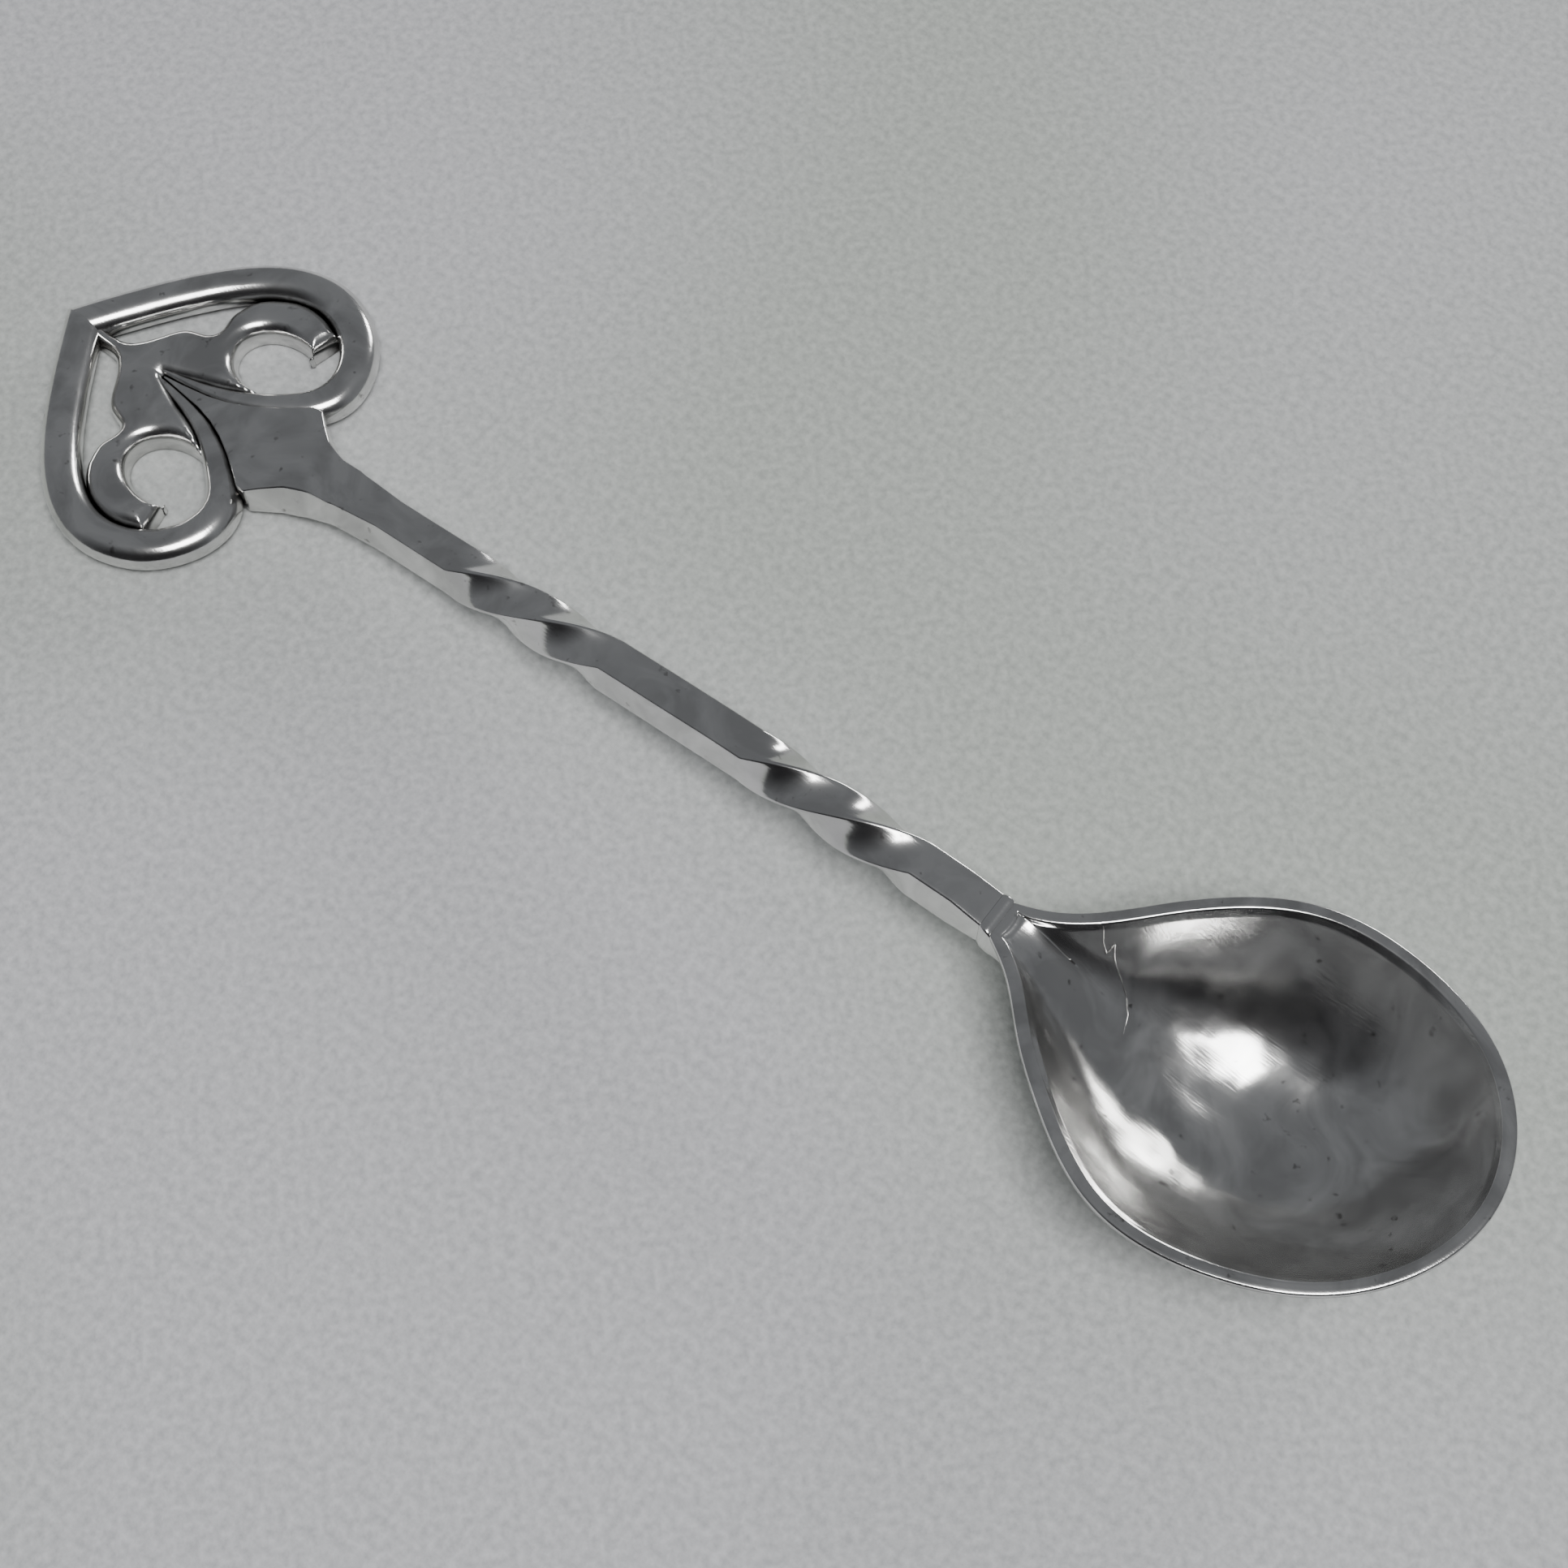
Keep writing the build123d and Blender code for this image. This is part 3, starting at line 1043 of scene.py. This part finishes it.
finishes = {
    "bowl_silver": silver("bowl_silver", 0.15, 0.0009, 0.8, 0.3),
    "handle_silver": silver("handle_silver", 0.16, 0.0009, 0.6, 0.25),
    "heart_silver": silver("heart_silver", 0.16, 0.0019, 0.6, 0.3),
}
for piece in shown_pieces():
    slot = piece.get("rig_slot")
    if slot in finishes and piece.type == "MESH":
        piece.data.materials.clear()
        piece.data.materials.append(finishes[slot])
print("finishes", sorted(finishes))

# %% [markdown]
# ## Cloth, light and camera
# The spoon lies on a plain pale cloth in a dim room. One soft window is high up
# beyond the bowl and one is low along the left side. The polished faces show the
# dim ceiling where they show no window.

# %% Cloth
cloth_size = 2.0
cloth_drop = 0.00002
bpy.ops.mesh.primitive_plane_add(size=cloth_size, location=(0, 0, -cloth_drop))
cloth = bpy.context.object
cloth.name = "cloth"
linen = bpy.data.materials.new("cloth")
linen.use_nodes = True
tree = linen.node_tree
shader = tree.nodes["Principled BSDF"]
shader.inputs["Roughness"].default_value = 0.95
place = tree.nodes.new("ShaderNodeTexCoord").outputs["Object"]
weave = noise_of(tree, place, 1300.0, 4.0)
tone = ramp_of(tree, weave, 0.3, (0.5, 0.505, 0.51), 0.7, (0.7, 0.7, 0.705))
drift = noise_of(tree, place, 9.0, 1.0)
tint = ramp_of(tree, drift, 0.4, (0.82, 0.86, 0.8), 0.6, (0.98, 0.98, 1.0))
tree.links.new(product_of(tree, tone, tint), shader.inputs["Base Color"])
tree.links.new(bump_of(tree, weave, 0.6, 0.0002), shader.inputs["Normal"])
cloth.data.materials.append(linen)
print("cloth laid")

# %% Light
room = bpy.data.worlds.new("room")
room.use_nodes = True
tree = room.node_tree
toward = tree.nodes.new("ShaderNodeTexCoord").outputs["Generated"]
dark_side = tree.nodes.new("ShaderNodeVectorMath")
dark_side.operation = "DOT_PRODUCT"
dark_side.inputs[1].default_value = (0.42, -0.88, 0.2)
tree.links.new(toward, dark_side.inputs[0])
dim, dark = (0.17, 0.176, 0.186), (0.025, 0.025, 0.027)
walls = ramp_of(tree, dark_side.outputs["Value"], 0.35, dim, 0.85, dark)
tree.links.new(walls, tree.nodes["Background"].inputs["Color"])
bpy.context.scene.world = room


def window(name, azimuth, elevation, distance, width, height, power):
    """A soft rectangular light that faces the spoon from one direction."""
    light = bpy.data.lights.new(name, "AREA")
    light.shape = "RECTANGLE"
    light.size, light.size_y = width, height
    light.energy = power
    lamp = bpy.data.objects.new(name, light)
    bpy.context.scene.collection.objects.link(lamp)
    around, up = math.radians(azimuth), math.radians(elevation)
    level = math.cos(up)
    out = Vector((math.cos(around) * level, math.sin(around) * level, math.sin(up)))
    lamp.location = out * distance
    lamp.rotation_mode = "QUATERNION"
    lamp.rotation_quaternion = (-out).to_track_quat("-Z", "Y")


window("window_high", -28, 68, 1.0, 0.5, 0.4, 9.0)
window("window_left", 92, 15, 1.0, 0.34, 0.16, 2.4)
print("lights placed")

# %% Camera
camera_data = bpy.data.cameras.new("camera")
camera = bpy.data.objects.new("camera", camera_data)
bpy.context.scene.collection.objects.link(camera)
camera_data.lens = 55.9
camera_data.sensor_width = 36.0
aim = Vector((7.6, 2.4, 0.0)) * MM
bearing = math.radians(127.2)
steepness = math.radians(65.1)
camera_distance = 207.6 * MM
forward = Vector(
    (
        math.cos(steepness) * math.cos(bearing),
        math.cos(steepness) * math.sin(bearing),
        -math.sin(steepness),
    )
)
camera.location = aim - forward * camera_distance
camera.rotation_mode = "QUATERNION"
camera.rotation_quaternion = forward.to_track_quat("-Z", "Y")
camera_data.clip_start = 0.01
bpy.context.scene.camera = camera
print("camera placed")
